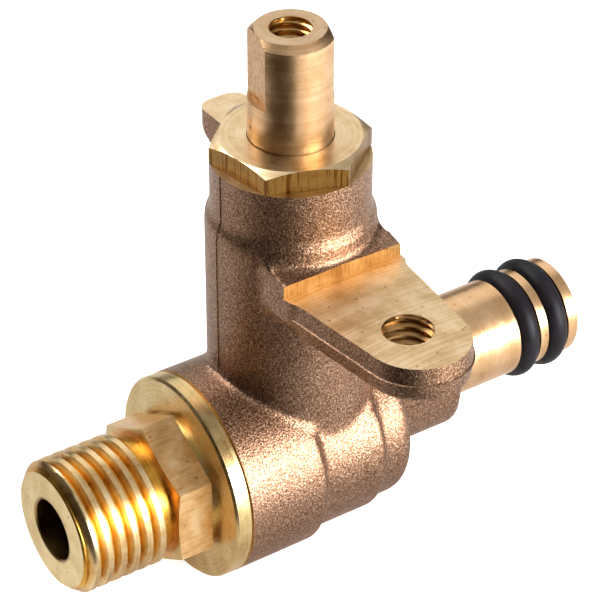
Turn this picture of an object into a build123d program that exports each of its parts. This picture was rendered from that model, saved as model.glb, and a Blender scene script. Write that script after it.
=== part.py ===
import os

from build123d import *

os.makedirs("parts", exist_ok=True)

# A boiler filling valve: a cast brass body with a threaded inlet nipple, a spring check valve,
# a screw-down spindle and a plug-in outlet spigot. Lengths are in millimetres and angles in degrees.
# X runs along the inlet axis from the nipple's end face, Z up the spindle, and the fixing ear is at -Y.

# Rise of the outlet's axis above the inlet's axis
spigot_rise = 3.0

# Clearances
screw_clearance = 0.05
running_clearance = 0.08
seal_clearance = 0.03
seat_gap = 0.02
carrier_clearance = 0.3
cage_clearance = 0.1
nipple_end_gap = 0.3
bonnet_end_gap = 0.5

# Inlet nipple, along X from its end face
inlet_thread_radius = 7.0
inlet_thread_length = 9.1
inlet_end_chamfer = 0.9
inlet_bore_radius = 3.2
relief_depth = 0.9
relief_length = 1.3
nipple_hex_flats = 14.0
nipple_hex_length = 3.9
nipple_hex_corner_angle = 30
nipple_hex_bevel = 0.3
nipple_bevel_slope = 3.7
hex_sides = 6
nipple_neck_radius = 6.9
nipple_neck_length = 0.56
flange_setback = 0.05
flange_thickness = 1.94
flange_edge = 0.25
nipple_screw_radius = 8.0
nipple_screw_length = 5.4
nipple_web = 0.8

# Horizontal barrel of the body, in three cast steps
barrel_radius = 10.8
barrel_draft = 0.05
barrel_length = 9.1
middle_radius = 9.95
middle_length = 7.7
nose_radius = 9.4
nose_length = 4.05
nose_rounding = 1.6
step_rounding = 0.45
barrel_edge = 0.2

# Upright tower of the body
tower_radius = 8.5
tower_top_radius = 7.95
tower_height = 33.65
shoulder_low_z = 26.9
shoulder_high_z = 28.7
tower_edge = 0.2

# Fixing ear, with its milled top and the gusset behind it
ear_top_z = 24.3
ear_thickness = 3.7
ear_root_width = 13.7
ear_wall_reach = 8.9
ear_tip_reach = 21.1
ear_tip_radius = 5.5
ear_draft = 4
ear_hole_reach = 19.6
ear_hole_radius = 3.0
gusset_wall_height = 1.35
gusset_back_reach = 4.5
gusset_rise = 2.35

# Stop lug beside the tower's top
lug_width = 5.1
lug_reach = 13.1
lug_nose_height = 1.85
lug_slope = 30
lug_rounding = 1.6

# Outlet neck and spigot
neck_low_radius = 5.25
neck_high_radius = 5.6
neck_reach = 18.3
neck_rounding = 1.0
spigot_radius = 5.25
spigot_reach = 33.5
spigot_bore_radius = 2.4
spigot_chamfer = 0.25
tip_land = 1.4
middle_land = 1.0
spigot_groove_width = 2.7
spigot_cord_radius = 1.24
spigot_ring_outer_radius = 5.95

# Valve seat and water ways in the body
inlet_way_radius = 2.4
inlet_way_end = 2.2
chamber_wall = 0.4
check_way_radius = 3.2
check_way_length = 2.4
seat_z = 6.6
seat_bore_radius = 2.6
seat_lip_radius = 3.6
chamber_floor_z = 3.6
pocket_floor_z = 1.5
pocket_width = 4.0
pocket_wall = 0.15

# Flat gaskets between body, bonnet and nipple are round cord rings in turned recesses
recess_depth = 0.9
recess_width = 0.9
gasket_cord_radius = 0.43

# Check valve cartridge in the nipple
cage_radius = 5.4
cage_wall = 1.1
cage_head = 3.0
cage_play = 0.05
cage_seat_radius = 3.0
cage_groove_width = 1.5
cage_groove_depth = 1.2
cage_cord_radius = 0.62
poppet_nose_radius = 2.6
poppet_nose_length = 0.8
poppet_neck_radius = 2.1
poppet_disc_radius = 3.8
poppet_disc_thickness = 0.9
poppet_stem_radius = 0.9
poppet_stem_overhang = 0.4
seal_radius = 3.7
seal_thickness = 0.8
retainer_thickness = 1.6
retainer_rim = 0.9
retainer_snap = 0.3
retainer_snap_length = 0.9
retainer_hub_radius = 1.8
spoke_width = 1.0
spoke_count = 3
spring_radius = 2.7
spring_wire_radius = 0.2
spring_turns = 4

# Bonnet, screwed into the tower
bonnet_hex_flats = 14.0
bonnet_hex_height = 2.32
bonnet_hex_corner_angle = 39
bonnet_hex_bevel = 0.55
bonnet_bevel_slope = 2
bonnet_screw_radius = 6.0
gland_length = 9.0

# Spindle
spindle_radius = 4.2
spindle_height = 47.6
spindle_chamfer = 0.7
spindle_flats = 7.0
spindle_flat_length = 7.3
spindle_flat_angle = -12.5
spindle_hole_radius = 2.5
spindle_hole_depth = 9.0
spindle_screw_radius = 3.95
spindle_screw_runout = 1.2
spindle_shoulder_gap = 0.4
spindle_groove_width = 1.7
spindle_groove_depth = 1.4
spindle_cord_radius = 0.71
spindle_land = 0.9
spindle_waist_radius = 3.0
spindle_pin_radius = 2.4
spindle_lift = 2.5
spindle_end_gap = 0.1

# Washer carrier, clip, washer and screw at the foot of the spindle
carrier_radius = 5.3
carrier_height = 5.9
carrier_skirt = 1.2
carrier_socket_depth = 3.5
clip_groove_place = 1.6
clip_groove_width = 0.8
clip_groove_depth = 0.5
clip_thickness = 0.7
clip_radius = 3.2
clip_opening = 1.2
washer_radius = 4.4
washer_thickness = 2.0
washer_screw_radius = 1.5
washer_screw_length = 3.6
washer_head_radius = 1.7
washer_head_height = 1.2
screw_slot_width = 0.6
screw_slot_depth = 0.5

# Stations along the inlet axis
hex_x = inlet_thread_length + relief_length
flange_x = hex_x + nipple_hex_length + nipple_neck_length
joint_x = flange_x + flange_thickness
body_shoulder_x = joint_x + nipple_screw_length + nipple_end_gap
middle_x = joint_x + barrel_length
nose_x = middle_x + middle_length
barrel_end_x = nose_x + nose_length
flange_radius = barrel_radius - flange_setback
relief_radius = inlet_thread_radius - relief_depth
chamber_radius = carrier_radius + carrier_clearance
stem_x = body_shoulder_x + chamber_wall + chamber_radius
neck_end_x = stem_x + neck_reach
spigot_end_x = stem_x + spigot_reach
outer_groove_x = spigot_end_x - tip_land - spigot_groove_width
inner_groove_x = outer_groove_x - middle_land - spigot_groove_width
spigot_groove_radius = spigot_ring_outer_radius - 2 * spigot_cord_radius - seat_gap

# Stations of the check cartridge
cage_front_x = hex_x + nipple_web + cage_play
cage_back_x = body_shoulder_x - cage_play
check_seat_x = cage_front_x + cage_head
seal_front_x = check_seat_x + seat_gap
seal_back_x = seal_front_x + seal_thickness
disc_back_x = seal_back_x + poppet_disc_thickness
retainer_front_x = cage_back_x - retainer_thickness - cage_play
cage_bore_radius = cage_radius - cage_wall
cage_pocket_radius = cage_radius + cage_clearance

# Stations up the spindle
washer_low_z = seat_z + seat_gap
washer_high_z = washer_low_z + washer_thickness
carrier_top_z = washer_high_z + carrier_height
socket_floor_z = carrier_top_z - carrier_socket_depth
clip_groove_z = socket_floor_z + clip_groove_place
bonnet_low_z = carrier_top_z + spindle_lift + seat_gap
bonnet_top_z = tower_height + bonnet_hex_height
gland_floor_z = bonnet_top_z - gland_length
gland_radius = spindle_radius + running_clearance
spindle_shoulder_z = gland_floor_z + spindle_shoulder_gap
spindle_screw_end_z = bonnet_low_z + spindle_screw_runout
lower_groove_z = spindle_shoulder_z + spindle_land
upper_groove_z = lower_groove_z + spindle_groove_width + spindle_land
spindle_groove_radius = spindle_radius - spindle_groove_depth
bonnet_bore_radius = bonnet_screw_radius + screw_clearance
ear_mid_z = ear_top_z - ear_thickness / 2

# Planes that hold the turned profiles: local x is along the plane's first axis, local y is up
inlet_plane = Plane.XZ
inlet_axis = Axis.X
spigot_plane = Plane(origin=(0, 0, spigot_rise), x_dir=(1, 0, 0), z_dir=(0, -1, 0))
spigot_axis = Axis((0, 0, spigot_rise), (1, 0, 0))
stem_plane = Plane(origin=(stem_x, 0, 0), x_dir=(1, 0, 0), z_dir=(0, -1, 0))
stem_axis = Axis((stem_x, 0, 0), (0, 0, 1))
side_plane = Plane.YZ.offset(stem_x)


def write(part, name):
    part.label = name
    export_step(part, f"parts/{name}.step")


# Valve body: one brass casting with the barrel, tower, ear, lug and spigot
with BuildPart() as valve_body:
    with BuildSketch(inlet_plane):
        with BuildLine():
            Polyline(
                (joint_x, 0),
                (joint_x, barrel_radius - barrel_edge),
                (joint_x + barrel_edge, barrel_radius),
                (middle_x - step_rounding, barrel_radius - barrel_draft),
                (middle_x, barrel_radius - barrel_draft - step_rounding),
                (middle_x, middle_radius),
                (nose_x - step_rounding, middle_radius),
                (nose_x, middle_radius - step_rounding),
                (nose_x, nose_radius),
                (barrel_end_x - nose_rounding, nose_radius),
            )
            RadiusArc(
                (barrel_end_x - nose_rounding, nose_radius),
                (barrel_end_x, nose_radius - nose_rounding),
                nose_rounding,
            )
            Polyline(
                (barrel_end_x, nose_radius - nose_rounding),
                (barrel_end_x, 0),
                (joint_x, 0),
            )
        make_face()
    revolve(axis=inlet_axis)

    with BuildSketch(stem_plane):
        with BuildLine():
            Polyline(
                (0, 0),
                (tower_radius, 0),
                (tower_radius, shoulder_low_z),
                (tower_top_radius, shoulder_high_z),
                (tower_top_radius, tower_height - tower_edge),
                (tower_top_radius - tower_edge, tower_height),
                (0, tower_height),
                close=True,
            )
        make_face()
    revolve(axis=stem_axis)

    with BuildSketch(Plane.YZ.offset(nose_x)):
        Circle(neck_low_radius)
        with Locations((0, spigot_rise)):
            Circle(neck_high_radius)
        make_hull()
    extrude(amount=neck_end_x - nose_x)
    fillet(valve_body.faces().sort_by(Axis.X)[-1].edges(), neck_rounding)

    with BuildSketch(Plane.XY.offset(ear_mid_z)):
        with BuildLine():
            tip_circle = CenterArc((stem_x, -ear_tip_reach), ear_tip_radius, 0, 360, mode=Mode.PRIVATE)
            ear_left_x = stem_x - ear_root_width / 2
            ear_right_x = stem_x + ear_root_width / 2
            left_side = PointArcTangentLine((ear_left_x, -ear_wall_reach), tip_circle, side=Side.RIGHT)
            right_side = PointArcTangentLine((ear_right_x, -ear_wall_reach), tip_circle, side=Side.LEFT)
            ThreePointArc(
                left_side @ 1,
                (stem_x, -ear_tip_reach - ear_tip_radius),
                right_side @ 1,
            )
            Polyline(left_side @ 0, (ear_left_x, 0), (ear_right_x, 0), right_side @ 0)
        make_face()
    extrude(amount=ear_thickness / 2, both=True, taper=ear_draft)

    gusset_top_z = ear_top_z + gusset_rise
    with BuildSketch(side_plane):
        with BuildLine():
            Polyline(
                (0, ear_mid_z),
                (-ear_wall_reach, ear_mid_z),
                (-ear_wall_reach, ear_top_z + gusset_wall_height),
                (-gusset_back_reach, gusset_top_z),
                (0, gusset_top_z),
                close=True,
            )
        make_face()
    extrude(amount=ear_root_width / 2, both=True)

    lug_plane = Plane(origin=(stem_x, 0, tower_height), x_dir=(0, 1, 0), z_dir=(1, 0, 0))
    with BuildSketch(lug_plane):
        with BuildLine():
            nose_edge = Line((lug_reach, 0), (lug_reach, -lug_nose_height))
            underside = PolarLine(nose_edge @ 1, lug_reach - tower_top_radius / 2, 180 + lug_slope)
            Polyline(underside @ 1, ((underside @ 1).X, 0), (lug_reach, 0))
        make_face()
    extrude(amount=lug_width / 2, both=True)
    lug_corners = valve_body.edges().filter_by(Axis.Z).group_by(Axis.Y)[-1]
    fillet(lug_corners, lug_rounding)

    with BuildSketch(spigot_plane):
        with BuildLine():
            Polyline(
                (nose_x, 0),
                (nose_x, spigot_radius),
                (inner_groove_x, spigot_radius),
                (inner_groove_x, spigot_groove_radius),
                (inner_groove_x + spigot_groove_width, spigot_groove_radius),
                (inner_groove_x + spigot_groove_width, spigot_radius),
                (outer_groove_x, spigot_radius),
                (outer_groove_x, spigot_groove_radius),
                (outer_groove_x + spigot_groove_width, spigot_groove_radius),
                (outer_groove_x + spigot_groove_width, spigot_radius),
                (spigot_end_x - spigot_chamfer, spigot_radius),
                (spigot_end_x, spigot_radius - spigot_chamfer),
                (spigot_end_x, 0),
                close=True,
            )
        make_face()
    revolve(axis=spigot_axis)

    # Bore for the nipple, its gasket recess and the water way to the seat
    nipple_bore_radius = nipple_screw_radius + screw_clearance
    with BuildSketch(inlet_plane):
        with BuildLine():
            Polyline(
                (joint_x, 0),
                (joint_x, nipple_screw_radius + recess_width),
                (joint_x + recess_depth, nipple_screw_radius + recess_width),
                (joint_x + recess_depth, nipple_bore_radius),
                (body_shoulder_x, nipple_bore_radius),
                (body_shoulder_x, check_way_radius),
                (body_shoulder_x + check_way_length, check_way_radius),
                (body_shoulder_x + check_way_length, inlet_way_radius),
                (stem_x + inlet_way_end, inlet_way_radius),
                (stem_x + inlet_way_end, 0),
                close=True,
            )
        make_face()
    revolve(axis=inlet_axis, mode=Mode.SUBTRACT)

    # Bonnet bore and valve chamber, left standing round the raised seat
    with BuildSketch(stem_plane):
        with BuildLine():
            Polyline(
                (0, 0),
                (seat_bore_radius, 0),
                (seat_bore_radius, seat_z),
                (seat_lip_radius, seat_z),
                (seat_lip_radius, chamber_floor_z),
                (chamber_radius, chamber_floor_z),
                (chamber_radius, bonnet_low_z - bonnet_end_gap),
                (bonnet_bore_radius, bonnet_low_z - bonnet_end_gap),
                (bonnet_bore_radius, tower_height - recess_depth),
                (bonnet_screw_radius + recess_width, tower_height - recess_depth),
                (bonnet_screw_radius + recess_width, tower_height),
                (0, tower_height),
                close=True,
            )
        make_face()
    revolve(axis=stem_axis, mode=Mode.SUBTRACT)

    # Outlet way from the chamber's floor to the spigot's end
    pocket_start = seat_lip_radius + pocket_wall
    with BuildSketch(Plane.XY.offset(pocket_floor_z)):
        with Locations((stem_x + (pocket_start + chamber_radius) / 2, 0)):
            Rectangle(chamber_radius - pocket_start, pocket_width)
    extrude(amount=spigot_rise + spigot_bore_radius - pocket_floor_z, mode=Mode.SUBTRACT)
    with BuildSketch(Plane.YZ.offset(stem_x + pocket_start)):
        with Locations((0, spigot_rise)):
            Circle(spigot_bore_radius)
    extrude(amount=spigot_reach - pocket_start, mode=Mode.SUBTRACT)

    with BuildSketch(Plane.XY.offset(ear_top_z)):
        with Locations((stem_x, -ear_hole_reach)):
            Circle(ear_hole_radius)
    extrude(amount=-ear_thickness, mode=Mode.SUBTRACT)
write(valve_body.part, "valve_body")

# Inlet nipple: turned brass with a hexagon, a flange and a counterbore for the check cartridge.
# The thread is a plain cylinder at its crests, up to the relief before the hexagon.
with BuildPart() as inlet_nipple:
    hex_back_x = hex_x + nipple_hex_length
    hex_face_radius = nipple_hex_flats / 2
    hex_rim_radius = hex_face_radius + nipple_bevel_slope * nipple_hex_bevel
    with BuildSketch(Plane.YZ.offset(hex_x)):
        RegularPolygon(hex_face_radius, hex_sides, major_radius=False, rotation=nipple_hex_corner_angle)
    extrude(amount=nipple_hex_length)
    with BuildSketch(inlet_plane):
        with BuildLine():
            Polyline(
                (hex_x, 0),
                (hex_x, hex_face_radius),
                (hex_x + nipple_hex_bevel, hex_rim_radius),
                (hex_back_x, hex_rim_radius),
                (hex_back_x, 0),
                close=True,
            )
        make_face()
    revolve(axis=inlet_axis, mode=Mode.INTERSECT)

    nipple_end_x = joint_x + nipple_screw_length
    with BuildSketch(inlet_plane):
        with BuildLine():
            Polyline(
                (0, inlet_bore_radius),
                (0, inlet_thread_radius - inlet_end_chamfer),
                (inlet_end_chamfer, inlet_thread_radius),
                (inlet_thread_length, inlet_thread_radius),
                (inlet_thread_length, relief_radius),
                (hex_x, relief_radius),
                (hex_x, nipple_neck_radius),
                (flange_x, nipple_neck_radius),
                (flange_x, flange_radius - flange_edge),
                (flange_x + flange_edge, flange_radius),
                (joint_x - flange_edge, flange_radius),
                (joint_x, flange_radius - flange_edge),
                (joint_x, nipple_screw_radius),
                (nipple_end_x, nipple_screw_radius),
                (nipple_end_x, inlet_bore_radius),
                close=True,
            )
        make_face()
    revolve(axis=inlet_axis)

    with BuildSketch(inlet_plane):
        with BuildLine():
            Polyline(
                (0, 0),
                (0, inlet_bore_radius),
                (hex_x + nipple_web, inlet_bore_radius),
                (hex_x + nipple_web, cage_pocket_radius),
                (nipple_end_x, cage_pocket_radius),
                (nipple_end_x, 0),
                close=True,
            )
        make_face()
    revolve(axis=inlet_axis, mode=Mode.SUBTRACT)
write(inlet_nipple.part, "inlet_nipple")

# Check cage: moulded tube with a seat at its front and a snap groove for the retainer at its back
with BuildPart() as check_cage:
    groove_middle_x = cage_front_x + cage_head / 2
    groove_front_x = groove_middle_x - cage_groove_width / 2
    groove_back_x = groove_middle_x + cage_groove_width / 2
    cage_groove_radius = cage_radius - cage_groove_depth
    snap_front_x = retainer_front_x - seat_gap
    snap_back_x = retainer_front_x + retainer_snap_length + seat_gap
    snap_radius = cage_bore_radius + retainer_snap
    with BuildSketch(inlet_plane):
        with BuildLine():
            Polyline(
                (cage_front_x, cage_seat_radius),
                (cage_front_x, cage_radius),
                (groove_front_x, cage_radius),
                (groove_front_x, cage_groove_radius),
                (groove_back_x, cage_groove_radius),
                (groove_back_x, cage_radius),
                (cage_back_x, cage_radius),
                (cage_back_x, cage_bore_radius),
                (snap_back_x, cage_bore_radius),
                (snap_back_x, snap_radius),
                (snap_front_x, snap_radius),
                (snap_front_x, cage_bore_radius),
                (check_seat_x, cage_bore_radius),
                (check_seat_x, cage_seat_radius),
                close=True,
            )
        make_face()
    revolve(axis=inlet_axis)
write(check_cage.part, "check_cage")

# Check retainer: moulded spider that snaps into the cage and guides the poppet's stem
with BuildPart() as check_retainer:
    rim_radius = cage_bore_radius - seat_gap
    with BuildSketch(Plane.YZ.offset(retainer_front_x)):
        Circle(rim_radius)
        Circle(rim_radius - retainer_rim, mode=Mode.SUBTRACT)
        with PolarLocations(rim_radius / 2, spoke_count):
            Rectangle(rim_radius - retainer_rim, spoke_width)
        Circle(retainer_hub_radius)
        Circle(poppet_stem_radius + running_clearance, mode=Mode.SUBTRACT)
    extrude(amount=retainer_thickness)
    with BuildSketch(Plane.YZ.offset(retainer_front_x)):
        Circle(snap_radius - seat_gap)
        Circle(rim_radius - retainer_rim, mode=Mode.SUBTRACT)
    extrude(amount=retainer_snap_length)
write(check_retainer.part, "check_retainer")

# Check poppet: moulded disc with a nose that holds the seal and a stem that slides in the retainer
with BuildPart() as check_poppet:
    poppet_stem_end_x = cage_back_x + poppet_stem_overhang
    with BuildSketch(inlet_plane):
        with BuildLine():
            Polyline(
                (seal_front_x - poppet_nose_length, 0),
                (seal_front_x - poppet_nose_length, poppet_neck_radius),
                (seal_front_x, poppet_nose_radius),
                (seal_front_x, poppet_neck_radius),
                (seal_back_x, poppet_neck_radius),
                (seal_back_x, poppet_disc_radius),
                (disc_back_x, poppet_disc_radius),
                (disc_back_x, poppet_stem_radius),
                (poppet_stem_end_x, poppet_stem_radius),
                (poppet_stem_end_x, 0),
                close=True,
            )
        make_face()
    revolve(axis=inlet_axis)
write(check_poppet.part, "check_poppet")

# Poppet seal: flat rubber ring round the poppet's neck
with BuildPart() as check_poppet_seal:
    with BuildSketch(Plane.YZ.offset(seal_front_x)):
        Circle(seal_radius)
        Circle(poppet_neck_radius + seat_gap, mode=Mode.SUBTRACT)
    extrude(amount=seal_thickness)
write(check_poppet_seal.part, "check_poppet_seal")

# Check spring: wire coil between the poppet's disc and the retainer
with BuildPart() as check_spring:
    spring_front_x = disc_back_x + spring_wire_radius + seat_gap
    spring_back_x = retainer_front_x - spring_wire_radius - seat_gap
    spring_length = spring_back_x - spring_front_x
    with BuildLine():
        coil = Helix(
            spring_length / spring_turns,
            spring_length,
            spring_radius,
            center=(spring_front_x, 0, 0),
            direction=(1, 0, 0),
        )
    with BuildSketch(Plane(origin=coil @ 0, z_dir=coil % 0)):
        Circle(spring_wire_radius)
    sweep(path=coil, is_frenet=True)
write(check_spring.part, "check_spring")

# Bonnet: turned brass plug with a hexagon, the spindle's gland and its lifting thread
with BuildPart() as bonnet:
    bonnet_face_radius = bonnet_hex_flats / 2
    bonnet_rim_radius = bonnet_face_radius + bonnet_bevel_slope * bonnet_hex_bevel
    with BuildSketch(Plane.XY.offset(tower_height)):
        with Locations((stem_x, 0)):
            RegularPolygon(
                bonnet_face_radius,
                hex_sides,
                major_radius=False,
                rotation=bonnet_hex_corner_angle,
            )
    extrude(amount=bonnet_hex_height)
    with BuildSketch(stem_plane):
        with BuildLine():
            Polyline(
                (0, tower_height),
                (bonnet_rim_radius, tower_height),
                (bonnet_rim_radius, bonnet_top_z - bonnet_hex_bevel),
                (bonnet_face_radius, bonnet_top_z),
                (0, bonnet_top_z),
                close=True,
            )
        make_face()
    revolve(axis=stem_axis, mode=Mode.INTERSECT)

    with BuildSketch(Plane.XY.offset(bonnet_low_z)):
        with Locations((stem_x, 0)):
            Circle(bonnet_screw_radius)
    extrude(amount=tower_height - bonnet_low_z)

    spindle_screw_bore = spindle_screw_radius + screw_clearance
    with BuildSketch(stem_plane):
        with BuildLine():
            Polyline(
                (0, bonnet_low_z),
                (spindle_screw_bore, bonnet_low_z),
                (spindle_screw_bore, gland_floor_z),
                (gland_radius, gland_floor_z),
                (gland_radius, bonnet_top_z),
                (0, bonnet_top_z),
                close=True,
            )
        make_face()
    revolve(axis=stem_axis, mode=Mode.SUBTRACT)
write(bonnet.part, "bonnet")

# Spindle: turned brass rod with two driving flats, seal grooves, a lifting thread and a swivel pin
with BuildPart() as spindle:
    waist_end_z = carrier_top_z + spindle_shoulder_gap
    clip_groove_radius = spindle_pin_radius - clip_groove_depth
    with BuildSketch(stem_plane):
        with BuildLine():
            Polyline(
                (0, socket_floor_z + spindle_end_gap),
                (spindle_pin_radius, socket_floor_z + spindle_end_gap),
                (spindle_pin_radius, clip_groove_z),
                (clip_groove_radius, clip_groove_z),
                (clip_groove_radius, clip_groove_z + clip_groove_width),
                (spindle_pin_radius, clip_groove_z + clip_groove_width),
                (spindle_pin_radius, waist_end_z),
                (spindle_waist_radius, waist_end_z),
                (spindle_waist_radius, spindle_screw_end_z),
                (spindle_screw_radius, spindle_screw_end_z),
                (spindle_screw_radius, spindle_shoulder_z),
                (spindle_radius, spindle_shoulder_z),
                (spindle_radius, lower_groove_z),
                (spindle_groove_radius, lower_groove_z),
                (spindle_groove_radius, lower_groove_z + spindle_groove_width),
                (spindle_radius, lower_groove_z + spindle_groove_width),
                (spindle_radius, upper_groove_z),
                (spindle_groove_radius, upper_groove_z),
                (spindle_groove_radius, upper_groove_z + spindle_groove_width),
                (spindle_radius, upper_groove_z + spindle_groove_width),
                (spindle_radius, spindle_height - spindle_chamfer),
                (spindle_radius - spindle_chamfer, spindle_height),
                (0, spindle_height),
                close=True,
            )
        make_face()
    revolve(axis=stem_axis)

    with BuildSketch(Plane.XY.offset(spindle_height)):
        with Locations((stem_x, 0)):
            Circle(spindle_radius)
            Rectangle(
                spindle_flats,
                2 * spindle_radius,
                rotation=spindle_flat_angle,
                mode=Mode.SUBTRACT,
            )
    extrude(amount=-spindle_flat_length, mode=Mode.SUBTRACT)

    with BuildSketch(Plane.XY.offset(spindle_height)):
        with Locations((stem_x, 0)):
            Circle(spindle_hole_radius)
    extrude(amount=-spindle_hole_depth, mode=Mode.SUBTRACT)
write(spindle.part, "spindle")

# Washer carrier: turned brass jumper that swivels on the spindle's pin and holds the seat washer
with BuildPart() as washer_carrier:
    socket_radius = spindle_pin_radius + running_clearance
    screw_bore_radius = washer_screw_radius + seat_gap
    carrier_groove_z = clip_groove_z - seal_clearance
    carrier_groove_top_z = clip_groove_z + clip_groove_width + seal_clearance
    with BuildSketch(stem_plane):
        with BuildLine():
            Polyline(
                (screw_bore_radius, washer_high_z),
                (washer_radius + screw_clearance, washer_high_z),
                (washer_radius + screw_clearance, washer_high_z - carrier_skirt),
                (carrier_radius, washer_high_z - carrier_skirt),
                (carrier_radius, carrier_top_z),
                (socket_radius, carrier_top_z),
                (socket_radius, carrier_groove_top_z),
                (clip_radius + running_clearance, carrier_groove_top_z),
                (clip_radius + running_clearance, carrier_groove_z),
                (socket_radius, carrier_groove_z),
                (socket_radius, socket_floor_z),
                (screw_bore_radius, socket_floor_z),
                close=True,
            )
        make_face()
    revolve(axis=stem_axis)
write(washer_carrier.part, "washer_carrier")

# Carrier clip: open wire ring that keeps the carrier on the spindle's pin
with BuildPart() as carrier_clip:
    clip_low_z = clip_groove_z + (clip_groove_width - clip_thickness) / 2
    with BuildSketch(Plane.XY.offset(clip_low_z)):
        with Locations((stem_x, 0)):
            Circle(clip_radius)
            Circle(clip_groove_radius + running_clearance, mode=Mode.SUBTRACT)
        with Locations((stem_x, clip_radius / 2)):
            Rectangle(clip_opening, clip_radius, mode=Mode.SUBTRACT)
    extrude(amount=clip_thickness)
write(carrier_clip.part, "carrier_clip")

# Seat washer: flat rubber disc under the carrier
with BuildPart() as seat_washer:
    with BuildSketch(Plane.XY.offset(washer_low_z)):
        with Locations((stem_x, 0)):
            Circle(washer_radius)
            Circle(washer_screw_radius + seat_gap, mode=Mode.SUBTRACT)
    extrude(amount=washer_thickness)
write(seat_washer.part, "seat_washer")

# Washer screw: slotted brass screw that holds the washer to the carrier
with BuildPart() as washer_screw:
    with BuildSketch(Plane.XY.offset(washer_low_z)):
        with Locations((stem_x, 0)):
            Circle(washer_head_radius)
    extrude(amount=-washer_head_height)
    with BuildSketch(Plane.XY.offset(washer_low_z)):
        with Locations((stem_x, 0)):
            Circle(washer_screw_radius)
    extrude(amount=washer_screw_length)
    with BuildSketch(Plane.XY.offset(washer_low_z - washer_head_height)):
        with Locations((stem_x, 0)):
            Rectangle(2 * washer_head_radius, screw_slot_width)
    extrude(amount=screw_slot_depth, mode=Mode.SUBTRACT)
write(washer_screw.part, "washer_screw")


def write_o_ring(name, plane, inner_radius, cord_radius):
    """A round rubber cord ring whose axis is the plane's normal."""
    with BuildPart(plane) as ring:
        Torus(inner_radius + seat_gap + cord_radius, cord_radius)
    write(ring.part, name)


# Cord rings: two on the spigot, one under the nipple's flange, one on the cage, one under the bonnet's
# hexagon and two in the spindle's grooves
groove_middle = spigot_groove_width / 2
spigot_start = Plane(origin=(0, 0, spigot_rise), x_dir=(0, 1, 0), z_dir=(1, 0, 0))
write_o_ring(
    "spigot_o_ring_inner",
    spigot_start.offset(inner_groove_x + groove_middle),
    spigot_groove_radius,
    spigot_cord_radius,
)
write_o_ring(
    "spigot_o_ring_outer",
    spigot_start.offset(outer_groove_x + groove_middle),
    spigot_groove_radius,
    spigot_cord_radius,
)
write_o_ring(
    "nipple_o_ring",
    Plane.YZ.offset(joint_x + recess_depth / 2),
    nipple_screw_radius,
    gasket_cord_radius,
)
write_o_ring(
    "check_cage_o_ring",
    Plane.YZ.offset(groove_middle_x),
    cage_groove_radius,
    cage_cord_radius,
)
stem_floor = Plane(origin=(stem_x, 0, 0))
write_o_ring(
    "bonnet_o_ring",
    stem_floor.offset(tower_height - recess_depth / 2),
    bonnet_screw_radius,
    gasket_cord_radius,
)
write_o_ring(
    "spindle_o_ring_lower",
    stem_floor.offset(lower_groove_z + spindle_groove_width / 2),
    spindle_groove_radius,
    spindle_cord_radius,
)
write_o_ring(
    "spindle_o_ring_upper",
    stem_floor.offset(upper_groove_z + spindle_groove_width / 2),
    spindle_groove_radius,
    spindle_cord_radius,
)
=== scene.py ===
import math

import bmesh
import bpy
from mathutils import Matrix, Vector


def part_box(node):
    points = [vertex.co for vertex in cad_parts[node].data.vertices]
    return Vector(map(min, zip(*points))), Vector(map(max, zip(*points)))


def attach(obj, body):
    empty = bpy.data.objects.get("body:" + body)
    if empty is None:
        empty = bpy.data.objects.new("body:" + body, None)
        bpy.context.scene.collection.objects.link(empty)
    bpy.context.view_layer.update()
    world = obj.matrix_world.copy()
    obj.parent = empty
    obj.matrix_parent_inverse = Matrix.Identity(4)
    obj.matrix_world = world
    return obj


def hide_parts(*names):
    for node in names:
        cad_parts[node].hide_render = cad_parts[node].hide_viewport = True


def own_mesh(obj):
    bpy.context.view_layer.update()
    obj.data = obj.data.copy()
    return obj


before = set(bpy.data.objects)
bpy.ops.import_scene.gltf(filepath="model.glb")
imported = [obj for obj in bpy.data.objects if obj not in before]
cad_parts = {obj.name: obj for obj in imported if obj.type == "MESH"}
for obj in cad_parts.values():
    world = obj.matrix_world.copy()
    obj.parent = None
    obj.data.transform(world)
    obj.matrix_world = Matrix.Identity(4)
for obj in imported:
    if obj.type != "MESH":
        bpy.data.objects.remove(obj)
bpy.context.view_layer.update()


# The cast body: brass poured in a sand mould, one piece with the stepped barrel, tower, ear, gusset, lug and
# neck. Its inside corners are soft, and the mould's halves leave a thin parting ridge. The joint face, both tops,
# the bores and the outlet spigot are cut afterwards and stay crisp. Meshes are made in millimetres.
def node_box(node):
    """The lowest and highest corner of a CAD node, in millimetres."""
    low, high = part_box(node)
    return Vector(low) * 1000, Vector(high) * 1000


body_low, body_high = node_box("valve_body")
stem_low, stem_high = node_box("spindle")
inner_ring_low, inner_ring_high = node_box("spigot_o_ring_inner")
outer_ring_low, outer_ring_high = node_box("spigot_o_ring_outer")
stem_x = (stem_low.x + stem_high.x) / 2
spigot_z = (inner_ring_low.z + inner_ring_high.z) / 2
joint_x = body_low.x
barrel_radius = -body_low.z
middle_x, middle_radius = joint_x + 9.1, 9.95
nose_x, nose_radius, nose_round = middle_x + 7.7, 9.4, 1.6
barrel_end = nose_x + 4.05
tower_radius, collar_radius = 8.5, 7.95
tower_top = body_high.z
ear_top, ear_thickness, ear_half_width = 24.3, 3.7, 6.85
ear_wall_y, ear_tip_radius = -8.9, 5.5
ear_tip_y = body_low.y + ear_tip_radius
ear_hole_y = -19.6
lug_half_width, lug_round = 2.55, 1.6
neck_end, neck_radius, neck_round = stem_x + 18.3, 5.25, 1.0
spigot_radius, spigot_end = 5.25, body_high.x
casting_voxel = 0.25


def new_node(tree, kind, **values):
    made = tree.nodes.new(kind)
    for key, value in values.items():
        if hasattr(made, key):
            setattr(made, key, value)
        else:
            made.inputs[key.replace("_", " ")].default_value = value
    return made


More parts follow.
